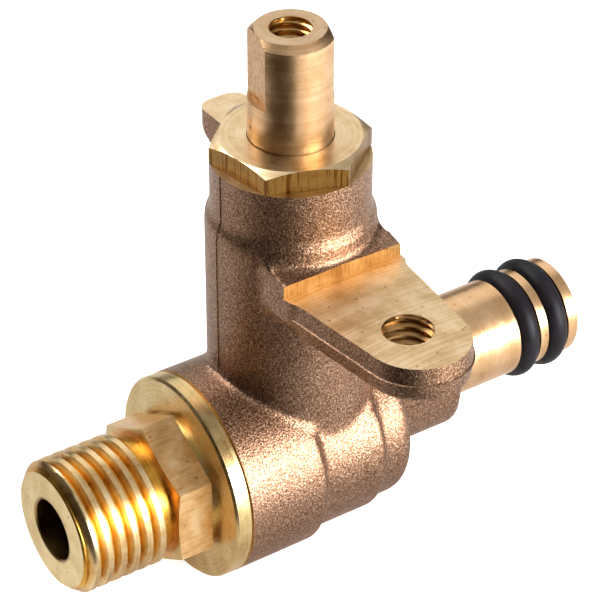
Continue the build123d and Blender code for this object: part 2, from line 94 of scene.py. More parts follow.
def new_group(name, inputs, outputs):
    group = bpy.data.node_groups.new(name, "ShaderNodeTree")
    for socket, value in inputs.items():
        kind = "NodeSocketVector" if value is None else "NodeSocketFloat"
        made = group.interface.new_socket(socket, in_out="INPUT", socket_type=kind)
        if value is not None:
            made.default_value = value
    for socket in outputs:
        group.interface.new_socket(socket, in_out="OUTPUT", socket_type="NodeSocketFloat")
    return group, group.nodes.new("NodeGroupInput"), group.nodes.new("NodeGroupOutput")


def weighted_sum(tree, first, weight, second):
    """Adds a weighted share of the first value to the second."""
    made = new_node(tree, "ShaderNodeMath", operation="MULTIPLY_ADD")
    made.inputs[1].default_value = weight
    tree.links.new(first, made.inputs[0])
    tree.links.new(second, made.inputs[2])
    return made.outputs[0]


# Sand grain of a casting: sharp grains a fifth of a millimetre across over broad stains
casting_grain, given, result = new_group("casting_grain", {"Vector": None}, ("Grain", "Stain", "Height"))
links = casting_grain.links
fine = new_node(casting_grain, "ShaderNodeTexNoise", Scale=5200.0, Detail=3.0, Roughness=0.65)
coarse = new_node(casting_grain, "ShaderNodeTexNoise", Scale=2600.0, Detail=2.0, Roughness=0.6)
stain = new_node(casting_grain, "ShaderNodeTexNoise", Scale=160.0, Detail=3.0, Roughness=0.55)
cells = new_node(casting_grain, "ShaderNodeTexVoronoi", Scale=5600.0)
for texture in (fine, coarse, stain, cells):
    links.new(given.outputs["Vector"], texture.inputs["Vector"])
grain_sum = weighted_sum(casting_grain, coarse.outputs["Fac"], 0.4, fine.outputs["Fac"])
height_sum = weighted_sum(casting_grain, cells.outputs["Distance"], 0.4, grain_sum)
links.new(fine.outputs["Fac"], result.inputs["Grain"])
links.new(stain.outputs["Fac"], result.inputs["Stain"])
links.new(height_sum, result.inputs["Height"])


def new_material(name, metallic=1.0):
    made = bpy.data.materials.new(name)
    made.use_nodes = True
    tree = made.node_tree
    shader = tree.nodes["Principled BSDF"]
    shader.inputs["Metallic"].default_value = metallic
    return made, tree, shader


def add_ramp(tree, source, target, stops):
    made = tree.nodes.new("ShaderNodeValToRGB")
    bar = made.color_ramp.elements
    while len(bar) < len(stops):
        bar.new(0.5)
    for element, (place, colour) in zip(bar, stops):
        element.position = place
        element.color = (*colour, 1.0)
    tree.links.new(source, made.inputs["Fac"])
    if target is not None:
        tree.links.new(made.outputs["Color"], target)
    return made.outputs["Color"]


def add_range(tree, source, low, high, start=0.25, end=0.75):
    made = new_node(tree, "ShaderNodeMapRange")
    for socket, value in (("From Min", start), ("From Max", end), ("To Min", low), ("To Max", high)):
        made.inputs[socket].default_value = value
    tree.links.new(source, made.inputs["Value"])
    return made.outputs["Result"]


def add_bump(tree, source, shader, strength, distance):
    made = new_node(tree, "ShaderNodeBump", Strength=strength, Distance=distance)
    tree.links.new(source, made.inputs["Height"])
    tree.links.new(made.outputs["Normal"], shader.inputs["Normal"])


def tint(material, mask, colour):
    """Multiplies a finish by a colour where the mask is one."""
    tree = material.node_tree
    target = tree.nodes["Principled BSDF"].inputs["Base Color"]
    made = new_node(tree, "ShaderNodeMix", data_type="RGBA", blend_type="MULTIPLY")
    tree.links.new(mask, made.inputs["Factor"])
    tree.links.new(target.links[0].from_socket, made.inputs[6])
    made.inputs[7].default_value = (*colour, 1.0)
    tree.links.new(made.outputs[2], target)


cast_brass, tree, shader = new_material("cast_brass")
place = new_node(tree, "ShaderNodeTexCoord")
grain = new_node(tree, "ShaderNodeGroup", node_tree=casting_grain)
tree.links.new(place.outputs["Object"], grain.inputs["Vector"])
add_ramp(tree, grain.outputs["Grain"], shader.inputs["Base Color"],
         [(0.36, (0.15, 0.072, 0.040)), (0.52, (0.37, 0.215, 0.140)), (0.68, (0.74, 0.53, 0.37))])
tint(cast_brass, add_range(tree, grain.outputs["Stain"], 1.0, 0.0), (0.80, 0.74, 0.66))
tree.links.new(add_range(tree, grain.outputs["Grain"], 0.32, 0.44), shader.inputs["Roughness"])
add_bump(tree, grain.outputs["Height"], shader, 0.5, 0.00009)

# Marks of a cutting tool on an axis along X: fine rings, clouds of stain, pits and the distance from the axis
tool_marks, given, result = new_group("tool_marks", {"Vector": None, "Along": 9000.0, "Across": 9000.0},
                                      ("Lines", "Cloud", "Specks", "Radius", "Height"))
links = tool_marks.links
parts = new_node(tool_marks, "ShaderNodeSeparateXYZ")
links.new(given.outputs["Vector"], parts.inputs[0])
flat = new_node(tool_marks, "ShaderNodeCombineXYZ")
links.new(parts.outputs["Y"], flat.inputs["Y"])
links.new(parts.outputs["Z"], flat.inputs["Z"])
radius = new_node(tool_marks, "ShaderNodeVectorMath", operation="LENGTH")
links.new(flat.outputs[0], radius.inputs[0])
rings = new_node(tool_marks, "ShaderNodeCombineXYZ")
for source, scale, target in ((parts.outputs["X"], "Along", "X"), (radius.outputs["Value"], "Across", "Y")):
    scaled = new_node(tool_marks, "ShaderNodeMath", operation="MULTIPLY")
    links.new(source, scaled.inputs[0])
    links.new(given.outputs[scale], scaled.inputs[1])
    links.new(scaled.outputs[0], rings.inputs[target])
lines = new_node(tool_marks, "ShaderNodeTexNoise", noise_dimensions="2D", Scale=1.0, Detail=3.0, Roughness=0.7)
links.new(rings.outputs[0], lines.inputs["Vector"])
cloud = new_node(tool_marks, "ShaderNodeTexNoise", Scale=420.0, Detail=4.0, Roughness=0.6)
frost = new_node(tool_marks, "ShaderNodeTexNoise", Scale=5200.0, Detail=2.0, Roughness=0.6)
pits = new_node(tool_marks, "ShaderNodeTexVoronoi", Scale=900.0)
for texture in (cloud, frost, pits):
    links.new(given.outputs["Vector"], texture.inputs["Vector"])
links.new(lines.outputs["Fac"], result.inputs["Lines"])
links.new(cloud.outputs["Fac"], result.inputs["Cloud"])
chance = new_node(tool_marks, "ShaderNodeSeparateColor")
links.new(pits.outputs["Color"], chance.inputs["Color"])
specks = new_node(tool_marks, "ShaderNodeMath", operation="MULTIPLY")
links.new(add_range(tool_marks, pits.outputs["Distance"], 1.0, 0.0, 0.06, 0.2), specks.inputs[0])
links.new(add_range(tool_marks, chance.outputs["Red"], 0.0, 1.0, 0.72, 0.8), specks.inputs[1])
links.new(specks.outputs[0], result.inputs["Specks"])
links.new(radius.outputs["Value"], result.inputs["Radius"])
links.new(weighted_sum(tool_marks, frost.outputs["Fac"], 0.8, lines.outputs["Fac"]), result.inputs["Height"])


def machined_brass(name, centre, turn, along, across, colours, roughness, strength):
    """Bright brass straight from the tool; turn brings the tool's axis onto X, centre is on that axis."""
    made, tree, shader = new_material(name)
    place = new_node(tree, "ShaderNodeTexCoord")
    shift = new_node(tree, "ShaderNodeMapping", vector_type="TEXTURE")
    shift.inputs["Location"].default_value = [c / 1000 for c in centre]
    shift.inputs["Rotation"].default_value = turn
    tree.links.new(place.outputs["Object"], shift.inputs["Vector"])
    marks = new_node(tree, "ShaderNodeGroup", node_tree=tool_marks, name="marks")
    marks.inputs["Along"].default_value = along
    marks.inputs["Across"].default_value = across
    tree.links.new(shift.outputs["Vector"], marks.inputs["Vector"])
    tone = weighted_sum(tree, marks.outputs["Lines"], 0.6, add_range(tree, marks.outputs["Cloud"], 0.0, 0.4))
    add_ramp(tree, tone, shader.inputs["Base Color"], list(zip((0.34, 0.5, 0.64), colours)))
    tint(made, marks.outputs["Specks"], (0.62, 0.5, 0.4))
    tree.links.new(add_range(tree, tone, *roughness), shader.inputs["Roughness"])
    add_bump(tree, marks.outputs["Height"], shader, strength, 0.00002)
    return made


straw = ((0.62, 0.43, 0.22), (0.75, 0.55, 0.31), (0.83, 0.65, 0.42))
gold = ((0.58, 0.32, 0.09), (0.80, 0.51, 0.19), (0.90, 0.66, 0.34))
rose = ((0.70, 0.42, 0.20), (0.77, 0.48, 0.25), (0.84, 0.56, 0.32))
# These darker amber tones are painted shade, used for the milled wall and for the wall of the tapped hole in the
# ear.
shaded_amber = ((0.30, 0.14, 0.04), (0.48, 0.26, 0.09), (0.62, 0.38, 0.16))
mottled = ((0.56, 0.38, 0.19), (0.70, 0.50, 0.27), (0.82, 0.64, 0.41))
upright = (0.0, -math.pi / 2, 0.0)
cutter_radius = 51.0
cutter_y = ear_wall_y - cutter_radius
turned_spigot = machined_brass("turned_spigot", (0, 0, spigot_z), (0, 0, 0), 800, 900, rose, (0.24, 0.36), 0.3)
faced_brass = machined_brass("faced_brass", (stem_x, 0, 0), upright, 9000, 7000, straw, (0.28, 0.42), 0.25)
milled_brass = machined_brass("milled_brass", (stem_x, cutter_y, 0), upright, 1200, 4500, mottled,
                              (0.36, 0.54), 0.7)
# The milled wall gets the darker amber tones as painted shade.
milled_wall = machined_brass("milled_wall", (stem_x, ear_wall_y, 0), upright, 200, 5200, shaded_amber,
                             (0.3, 0.44), 0.3)
bored_brass = machined_brass("bored_brass", (0, 0, 0), (0, 0, 0), 6000, 6000, gold, (0.25, 0.4), 0.2)


def turned(mesh, profile, along, centre, steps=96):
    """Spins an outline of (station, radius) pairs round an axis through centre and closes it."""
    axis = Vector((1, 0, 0)) if along == "X" else Vector((0, 0, 1))
    out = Vector((0, 0, 1)) if along == "X" else Vector((1, 0, 0))
    base = Vector(centre)
    points = [mesh.verts.new(base + axis * station + out * radius) for station, radius in profile]
    edges = [mesh.edges.new(pair) for pair in zip(points, points[1:])]
    bmesh.ops.spin(mesh, geom=points + edges, cent=base, axis=axis, angle=math.tau, steps=steps, use_merge=True)
    bmesh.ops.remove_doubles(mesh, verts=mesh.verts, dist=1e-5)
    bmesh.ops.recalc_face_normals(mesh, faces=mesh.faces)


def hull(mesh, points):
    """Closes a convex block round the points."""
    verts = [mesh.verts.new(point) for point in points]
    made = bmesh.ops.convex_hull(mesh, input=verts)
    loose = {item for key in ("geom_interior", "geom_unused") for item in made[key]}
    spare = [item for item in loose if isinstance(item, bmesh.types.BMVert) and item.is_valid]
    bmesh.ops.delete(mesh, geom=spare, context="VERTS")


def circle_points(centre, across, up, radius, count=48):
    middle, first, second = Vector(centre), Vector(across), Vector(up)
    turns = [math.tau * step / count for step in range(count)]
    return [middle + radius * (first * math.cos(turn) + second * math.sin(turn)) for turn in turns]


def new_object(mesh, name, *materials):
    data = bpy.data.meshes.new(name)
    mesh.to_mesh(data)
    mesh.free()
    for material in materials:
        data.materials.append(material)
    made = bpy.data.objects.new(name, data)
    bpy.context.scene.collection.objects.link(made)
    return made


def settle(thing):
    """Makes the modifiers' result the object's own mesh."""
    shown = thing.evaluated_get(bpy.context.evaluated_depsgraph_get())
    data = bpy.data.meshes.new_from_object(shown)
    thing.modifiers.clear()
    old = thing.data
    thing.data = data
    bpy.data.meshes.remove(old)


def machine(thing, tool, operation):
    """Cuts with a tool block or joins it on, and the new faces keep the tool's finish."""
    step = thing.modifiers.new(operation.lower(), "BOOLEAN")
    step.operation = operation
    step.object = tool
    step.solver = "EXACT"
    step.material_mode = "TRANSFER"
    settle(thing)
    data = tool.data
    bpy.data.objects.remove(tool)
    bpy.data.meshes.remove(data)


# The rough casting, with metal to spare on the faces that are cut later
spare_metal, joint_spare = 1, 0.8
casting_top = tower_top + spare_metal
step_edge, step_fall, nose_edge, nose_steps = 0.4, 0.04, 0.35, 4
rough = bmesh.new()
nose_turns = [math.pi / 2 * step / nose_steps for step in range(nose_steps + 1)]
nose_arc = [(barrel_end - nose_round * (1 - math.sin(turn)), nose_radius - nose_round * (1 - math.cos(turn)))
            for turn in nose_turns]
barrel_line = [(joint_x - joint_spare, 0), (joint_x - joint_spare, barrel_radius),
               (middle_x - step_edge, barrel_radius - step_fall), (middle_x, barrel_radius - step_edge),
               (middle_x, middle_radius), (nose_x - nose_edge, middle_radius),
               (nose_x, middle_radius - nose_edge), (nose_x, nose_radius), *nose_arc, (barrel_end, 0)]
turned(rough, barrel_line, "X", (0, 0, 0))
collar_line = [(26.7, tower_radius), (27.4, tower_radius - 0.08), (28.1, collar_radius + 0.1),
               (28.8, collar_radius)]
turned(rough, [(0, 0), (0, tower_radius), *collar_line, (casting_top, collar_radius), (casting_top, 0)],
       "Z", (stem_x, 0, 0))
neck_root, neck_swell = 33.0, 0.35
neck_line = ((neck_root, 0), (neck_end - 1.0, 0), (neck_end - 0.7, 0.05), (neck_end - 0.3, 0.29),
             (neck_end, neck_round))
neck = []
for x, shrink in neck_line:
    neck += circle_points((x, 0, 0), (0, 1, 0), (0, 0, 1), neck_radius - shrink)
    neck += circle_points((x, 0, spigot_z), (0, 1, 0), (0, 0, 1), neck_radius + neck_swell - shrink)
hull(rough, neck)
ear_middle, ear_root_y = ear_top - ear_thickness / 2, -4.0


def ear_plate(mesh, levels):
    """The ear's outline at several (height, shrink) levels, closed as one block."""
    points = []
    for z, shrink in levels:
        points += circle_points((stem_x, ear_tip_y, z), (1, 0, 0), (0, 1, 0), ear_tip_radius - shrink)
        points += [(stem_x + side * (ear_half_width - shrink), y, z)
                   for side in (-1, 1) for y in (ear_root_y, ear_wall_y)]
    hull(mesh, points)


ear_levels = ((ear_top - ear_thickness, 0.34), (ear_middle, 0.12), (ear_top + spare_metal, 0.42))
ear_plate(rough, ear_levels)
gusset_line = ((0, 21.5), (-10.0, 21.5), (-10.0, 25.4), (ear_wall_y, 25.65), (-4.5, 26.65), (0, 26.65))
hull(rough, [(stem_x + side * ear_half_width, y, z) for side in (-1, 1) for y, z in gusset_line])
lug_slope, lug_under, lug_root_y, lug_steps = math.tan(math.radians(30)), 31.8, 3.0, 24
lug_root_under = lug_under - (body_high.y - lug_root_y) * lug_slope
lug = []
for side in (-1, 1):
    corner = (stem_x + side * (lug_half_width - lug_round), body_high.y - lug_round, 0)
    for point in circle_points(corner, (1, 0, 0), (0, 1, 0), lug_round, lug_steps):
        under = lug_under - (body_high.y - point.y) * lug_slope
        lug += [(point.x, point.y, casting_top), (point.x, point.y, under)]
    lug += [(stem_x + side * lug_half_width, lug_root_y, z) for z in (casting_top, lug_root_under)]
hull(rough, lug)
body = new_object(rough, "cast_body", cast_brass)
fuse = body.modifiers.new("fuse", "REMESH")
fuse.mode = "VOXEL"
fuse.voxel_size = casting_voxel
settle(body)

# Inside corners of the mould are rounded with sand, so the creases between the cast forms are filled in;
# the two steps of the barrel and the tower's shoulder stay sharp
step_clear, step_reach, step_from, step_to = 9.6, 9.2, 25, 35
shoulder_reach, shoulder_foot = 8.9, 26.9
crease_depth, crease_rings, crease_passes = 0.012, 5, 16
rough = bmesh.new()
rough.from_mesh(body.data)
bmesh.ops.smooth_vert(rough, verts=rough.verts, factor=0.5, use_axis_x=True, use_axis_y=True, use_axis_z=True)
rough.normal_update()


def hollow(vert):
    """How far the surface's neighbours stand out round a point: above nought in a crease."""
    middle = sum((edge.other_vert(vert).co for edge in vert.link_edges), Vector()) / len(vert.link_edges)
    return (middle - vert.co).dot(vert.normal)


def kept_sharp(vert):
    x, y, z = vert.co
    from_stem = math.hypot(x - stem_x, y)
    on_barrel = (from_stem > step_clear or z < 0) and math.hypot(y, z) > step_reach
    on_step = on_barrel and step_from < x < step_to
    on_shoulder = from_stem < shoulder_reach and z > shoulder_foot
    return on_step or on_shoulder


crease = {vert for vert in rough.verts if hollow(vert) > crease_depth and not kept_sharp(vert)}
for ring in range(crease_rings):
    crease |= {edge.other_vert(vert) for vert in crease for edge in vert.link_edges}
for ring in range(crease_passes):
    bmesh.ops.smooth_vert(rough, verts=list(crease), factor=0.5,
                          use_axis_x=True, use_axis_y=True, use_axis_z=True)
rough.to_mesh(body.data)
rough.free()

# The mould's halves meet up the tower and round the ear's edge
ridge_bearing, ridge_height, ridge_half_turn, ridge_root = math.radians(178), 0.09, math.radians(2.2), -0.25
ridge_line = [(9.0, tower_radius), (27.0, tower_radius - 0.02), (28.6, collar_radius),
              (casting_top, collar_radius)]
rim_half_height, rim_depth = 0.22, 0.3
for span in zip(ridge_line, ridge_line[1:]):
    ridge = []
    for z, reach in span:
        for turn, rise in ((-ridge_half_turn, ridge_root), (0, ridge_height), (ridge_half_turn, ridge_root)):
            bearing = ridge_bearing + turn
            ridge.append((stem_x + (reach + rise) * math.cos(bearing), (reach + rise) * math.sin(bearing), z))
    tool = bmesh.new()
    hull(tool, ridge)
    machine(body, new_object(tool, "ridge_tool", cast_brass), "UNION")
tool = bmesh.new()
ear_plate(tool, ((ear_middle - rim_half_height, rim_depth), (ear_middle, 0.0),
                 (ear_middle + rim_half_height, rim_depth)))
machine(body, new_object(tool, "rim_tool", cast_brass), "UNION")

# The spigot is turned with two grooves for its rings
groove_radius, groove_room = 3.45, 0.11
spigot_root, spigot_edge, spigot_steps = 40.0, 0.25, 128
groove = []
for low, high in ((inner_ring_low.x, inner_ring_high.x), (outer_ring_low.x, outer_ring_high.x)):
    front, rear = low - groove_room, high + groove_room
    groove += [(front, spigot_radius), (front, groove_radius), (rear, groove_radius), (rear, spigot_radius)]
tool = bmesh.new()
turned(tool, [(spigot_root, 0), (spigot_root, spigot_radius), *groove, (spigot_end - spigot_edge, spigot_radius),
              (spigot_end, spigot_radius - spigot_edge), (spigot_end, 0)], "X", (0, 0, spigot_z), spigot_steps)
machine(body, new_object(tool, "spigot_tool", turned_spigot), "UNION")


def block(mesh, low, high):
    size = Vector(high) - Vector(low)
    middle = (Vector(high) + Vector(low)) / 2
    bmesh.ops.create_cube(mesh, size=1.0, matrix=Matrix.Translation(middle) @ Matrix.Diagonal((*size, 1.0)))


# What the tools take off: blocks by their two corners, and bores by their (station, radius) outlines
top_cut = ((17.5, -10.0, tower_top), (40.0, 20.0, 45.0))
joint_cut = ((5.0, -15.0, -15.0), (joint_x, 15.0, 15.0))
ear_cut = ((15.0, -35.0, ear_top), (42.0, ear_wall_y, 31.0))
inlet_cut = [(16.0, 0), (16.0, 8.9), (17.7, 8.9), (17.7, 8.05), (22.5, 8.05), (22.5, 3.2), (24.9, 3.2),
             (24.9, 2.4), (30.7, 2.4), (30.7, 0)]
ear_hole_cut = [(18.0, 0), (18.0, 3.0), (28.0, 3.0), (28.0, 0)]
chamber_cut = [(0, 0), (0, 2.6), (6.6, 2.6), (6.6, 3.6), (3.6, 3.6), (3.6, 5.6), (16.54, 5.6), (16.54, 6.05),
               (32.75, 6.05), (32.75, 6.9), (40.0, 6.9), (40.0, 0)]
outlet_cut = [(33.0, 0), (33.0, 2.4), (63.0, 2.4), (63.0, 0)]
tool = bmesh.new()
block(tool, *top_cut)
block(tool, *joint_cut)
machine(body, new_object(tool, "facing_tool", faced_brass), "DIFFERENCE")
tool = bmesh.new()
block(tool, *ear_cut)
tool.normal_update()
for face in tool.faces:
    face.material_index = 1 if face.normal.y > 0.9 else 0
machine(body, new_object(tool, "milling_tool", milled_brass, milled_wall), "DIFFERENCE")
tool = bmesh.new()
turned(tool, inlet_cut, "X", (0, 0, 0))
turned(tool, ear_hole_cut, "Z", (stem_x, ear_hole_y, 0))
machine(body, new_object(tool, "inlet_tool", bored_brass), "DIFFERENCE")
tool = bmesh.new()
turned(tool, chamber_cut, "Z", (stem_x, 0, 0))
machine(body, new_object(tool, "chamber_tool", bored_brass), "DIFFERENCE")
tool = bmesh.new()
turned(tool, outlet_cut, "X", (0, 0, spigot_z))
machine(body, new_object(tool, "outlet_tool", bored_brass), "DIFFERENCE")
crisp_angle = math.radians(32)


def finish_piece(thing, carrier, finish, *nodes):
    """Brings a piece to metres with crisp edges, and puts it in its CAD node's place."""
    thing.data.transform(Matrix.Scale(0.001, 4))
    thing.data.shade_smooth()
    thing.data.set_sharp_from_angle(angle=crisp_angle)
    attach(thing, carrier)
    if nodes:
        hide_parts(*nodes)


finish_piece(body, "housing", "cast_brass", "valve_body")


# The tapped thread in the ear: M6, cut right through from the milled top. A screw through the panel that
# carries the valve holds it here. The crests start at the hole's mouth.
def helix(mesh, outline, pitch, turns, steps, axis, centre):
    """Winds an outline of (station, radius) pairs, one pitch long, round an axis as a screw thread."""
    way = Vector(axis)
    out = Vector((0, 0, 1)) if way.x else Vector((1, 0, 0))
    base = Vector(centre)
    points = [mesh.verts.new(base + way * station + out * radius) for station, radius in outline]
    edges = [mesh.edges.new(pair) for pair in zip(points, points[1:])]
    bmesh.ops.subdivide_edges(mesh, edges=edges, cuts=2)
    bmesh.ops.spin(mesh, geom=list(mesh.verts) + list(mesh.edges), cent=base, axis=way,
                   dvec=way * (pitch / steps), angle=math.tau * turns, steps=steps * turns, use_merge=False)
    bmesh.ops.remove_doubles(mesh, verts=mesh.verts, dist=1e-4)


def trim(mesh, point, way):
    everything = list(mesh.verts) + list(mesh.edges) + list(mesh.faces)
    bmesh.ops.bisect_plane(mesh, geom=everything, dist=1e-5, plane_co=point, plane_no=way, clear_outer=True)


def open_ring(mesh, axis, station):
    way = Vector(axis)
    return [edge for edge in mesh.edges if edge.is_boundary
            and all(abs(vert.co.dot(way) - station) < 1e-3 for vert in edge.verts)]


def next_ring(mesh, ring, axis, centre, station, radius):
    """Carries an open ring on to a new station and radius on the same axis."""
    way, base = Vector(axis), Vector(centre)
    made = bmesh.ops.extrude_edge_only(mesh, edges=ring)["geom"]
    for vert in (item for item in made if isinstance(item, bmesh.types.BMVert)):
        arm = vert.co - base
        arm -= way * arm.dot(way)
        vert.co = base + way * (station - base.dot(way)) + arm.normalized() * radius
    return [item for item in made if isinstance(item, bmesh.types.BMEdge) and item.is_boundary]


tap_steps, tap_room, wall_room, mouth_depth = 64, 0.03, 0.004, 0.2


def tapped_hole(name, centre, top, bottom, minor, major, pitch, material, rim_material):
    """The wall of a threaded hole, closed on its outside just within the plain hole that it fills."""
    made = bmesh.new()
    axis = (0, 0, 1)
    turns = math.ceil((top - bottom) / pitch) + 2
    root = major - tap_room
    outline = [(0, minor), (pitch * 0.14, minor), (pitch * 0.5, root), (pitch * 0.62, root), (pitch, minor)]
    helix(made, outline, pitch, turns, tap_steps, axis, (*centre, bottom - pitch))
    trim(made, (0, 0, top), (0, 0, 1))
    trim(made, (0, 0, bottom), (0, 0, -1))
    for vert in made.verts:
        arm = Vector((vert.co.x - centre[0], vert.co.y - centre[1]))
        limit = minor + tap_room + 2 * max(0, top - mouth_depth - vert.co.z)
        if arm.length > limit:
            arm = arm.normalized() * limit
            vert.co.x, vert.co.y = centre[0] + arm.x, centre[1] + arm.y
    lower = open_ring(made, axis, bottom)
    outside = next_ring(made, open_ring(made, axis, top), axis, (*centre, 0), top, major - wall_room)
    outside = next_ring(made, outside, axis, (*centre, 0), bottom, major - wall_room)
    bmesh.ops.bridge_loops(made, edges=lower + outside)
    bmesh.ops.recalc_face_normals(made, faces=made.faces)
    for face in made.faces:
        on_rim = all(abs(vert.co.z - top) < 1e-3 for vert in face.verts)
        face.material_index = 1 if on_rim else 0
    return new_object(made, name, material, rim_material)


ear_minor, ear_major, ear_pitch = 2.5, 3.0, 1.0
# The hole's wall gets the darker amber tones as painted shade.
tapped_brass = machined_brass("tapped_brass", (stem_x, ear_hole_y, 0), upright, 5000, 5000, shaded_amber,
                              (0.22, 0.36), 0.2)
ear_thread = tapped_hole("ear_thread", (stem_x, ear_hole_y), ear_top, ear_top - ear_thickness, ear_minor,
                         ear_major, ear_pitch, tapped_brass, milled_brass)
finish_piece(ear_thread, "housing", "cast_brass")


# The rubber rings: two on the outlet spigot, where the pipe plugs over them, and the hidden ones at the joints,
# on the stem and in the check valve, with the valve's two soft sealing discs. All are moulded black rubber.
def dress(node, material):
    """Gives a CAD node that keeps its own shape its finish."""
    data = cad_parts[node].data
    data.materials.clear()
    data.materials.append(material)


rubber, tree, shader = new_material("black_rubber", 0.0)
shader.inputs["Specular IOR Level"].default_value = 0.25
place = new_node(tree, "ShaderNodeTexCoord")
marks = new_node(tree, "ShaderNodeGroup", node_tree=tool_marks)
marks.inputs["Along"].default_value = 5000
marks.inputs["Across"].default_value = 1500
tree.links.new(place.outputs["Object"], marks.inputs["Vector"])
add_ramp(tree, marks.outputs["Cloud"], shader.inputs["Base Color"],
         [(0.3, (0.004, 0.003, 0.005)), (0.7, (0.014, 0.011, 0.016))])
tree.links.new(add_range(tree, marks.outputs["Lines"], 0.38, 0.6), shader.inputs["Roughness"])
add_bump(tree, marks.outputs["Height"], shader, 0.35, 0.00006)
for node in ("spigot_o_ring_inner", "spigot_o_ring_outer", "nipple_o_ring", "bonnet_o_ring",
             "check_cage_o_ring", "check_poppet_seal", "seat_washer", "spindle_o_ring_lower",
             "spindle_o_ring_upper"):
    dress(node, rubber)


# The check valve cartridge behind the nipple: a moulded cage, its snap-in spider and a poppet in pale plastic,
# and a coil of spring wire. It drops into the nipple's counterbore before that is screwed in. In the valve the
# coil shortens towards its far end as the poppet opens; the copy made here rides with the housing at full length.
moulded_plastic, tree, shader = new_material("moulded_plastic", 0.0)
place = new_node(tree, "ShaderNodeTexCoord")
flow = new_node(tree, "ShaderNodeTexNoise", Scale=500.0, Detail=3.0, Roughness=0.5)
tree.links.new(place.outputs["Object"], flow.inputs["Vector"])
add_ramp(tree, flow.outputs["Fac"], shader.inputs["Base Color"],
         [(0.3, (0.70, 0.69, 0.64)), (0.7, (0.80, 0.79, 0.75))])
tree.links.new(add_range(tree, flow.outputs["Fac"], 0.36, 0.5), shader.inputs["Roughness"])
add_bump(tree, flow.outputs["Fac"], shader, 0.08, 0.00004)
for node in ("check_cage", "check_retainer", "check_poppet"):
    dress(node, moulded_plastic)
steel = ((0.36, 0.36, 0.37), (0.52, 0.52, 0.53), (0.64, 0.64, 0.65))
spring_steel = machined_brass("spring_steel", (0, 0, 0), (0, 0, 0), 5000, 5000, steel, (0.24, 0.36), 0.1)
dress("check_spring", spring_steel)
coil = bmesh.new()
coil.from_mesh(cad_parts["check_spring"].data)
bmesh.ops.remove_doubles(coil, verts=coil.verts, dist=1e-7)
bmesh.ops.recalc_face_normals(coil, faces=coil.faces)
spring_coil = new_object(coil, "check_spring_coil", spring_steel)
spring_coil.data.shade_smooth()
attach(spring_coil, "housing")
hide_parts("check_spring")
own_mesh(spring_coil)


# The inlet nipple: turned from hexagonal brass bar, with an M14 thread, a hexagon left as drawn, a flange that
# closes on the body's joint face and a screwed tail. Its counterbore holds the check valve.
nipple_axis = (1, 0, 0)
nipple_high = node_box("inlet_nipple")[1]
thread_radius, thread_depth, thread_pitch, thread_crest, thread_root = 7.0, 0.75, 1.5, 0.6, 0.1
thread_end, thread_chamfer, thread_turns, thread_steps = 9.1, 0.9, 9, 112
relief_radius, inlet_bore, bore_edge = 6.1, 3.2, 0.15
hex_front, hex_back, hex_half_flats, hex_bevel = 10.4, 14.3, 7.0, 0.3
flange_front, flange_radius, flange_edge = 14.86, nipple_high.z, 0.25
neck_reach, tail_radius, counterbore = 6.9, 8.0, 5.5
counterbore_front, neck_front, tail_end = hex_front + 0.8, hex_front + 0.2, nipple_high.x
crest_tones = ((0.58, 0.36, 0.14), (0.77, 0.54, 0.26), (0.87, 0.67, 0.38))
thread_brass = machined_brass("thread_brass", (0, 0, 0), (0, 0, 0), 7000, 7000, crest_tones, (0.24, 0.38), 0.2)
tree = thread_brass.node_tree
# Painted shade: the thread's grooves, and the relief behind the thread that takes the same finish, are tinted a
# darker amber.
groove_shade = add_range(tree, tree.nodes["marks"].outputs["Radius"], 1.0, 0.0, 0.00635, 0.00688)
tint(thread_brass, groove_shade, (0.88, 0.64, 0.2))
yellow = ((0.64, 0.45, 0.19), (0.78, 0.58, 0.27), (0.86, 0.68, 0.37))
turned_nipple = machined_brass("turned_nipple", (0, 0, 0), (0, 0, 0), 9000, 9000, yellow, (0.24, 0.38), 0.22)
tree = turned_nipple.node_tree
# Painted shade: the inside of the inlet bore is darkened.
bore_shade = add_range(tree, tree.nodes["marks"].outputs["Radius"], 1.0, 0.0, 0.0033, 0.0036)
tint(turned_nipple, bore_shade, (0.42, 0.32, 0.22))
# The hexagon's brighter orange tones are a painted orange glow; the lengthwise lines are those of the drawn bar.
orange_glow = ((0.74, 0.42, 0.16), (0.92, 0.57, 0.25), (0.98, 0.70, 0.38))
drawn_brass = machined_brass("drawn_brass", (0, 0, 0), (0, 0, 0), 300, 9000, orange_glow, (0.26, 0.42), 0.2)
flank = (thread_pitch - thread_crest - thread_root) / 2
root_radius = thread_radius - thread_depth
thread_line = [(0, thread_radius), (thread_crest, thread_radius), (thread_crest + flank, root_radius),
               (thread_pitch - flank, root_radius), (thread_pitch, thread_radius)]
thread_start = -thread_pitch - (thread_pitch + thread_crest) / 2
nipple_mesh = bmesh.new()
helix(nipple_mesh, thread_line, thread_pitch, thread_turns, thread_steps, nipple_axis, (thread_start, 0, 0))
trim(nipple_mesh, (0, 0, 0), (-1, 0, 0))
trim(nipple_mesh, (thread_end, 0, 0), (1, 0, 0))
for vert in nipple_mesh.verts:
    reach = math.hypot(vert.co.y, vert.co.z)
    limit = thread_radius - thread_chamfer + vert.co.x
    if reach > limit:
        vert.co.y *= limit / reach
        vert.co.z *= limit / reach
thread_back = open_ring(nipple_mesh, nipple_axis, thread_end)
rear = next_ring(nipple_mesh, thread_back, nipple_axis, (0, 0, 0), thread_end, relief_radius)
ring = open_ring(nipple_mesh, nipple_axis, 0)
threaded = set(nipple_mesh.faces)
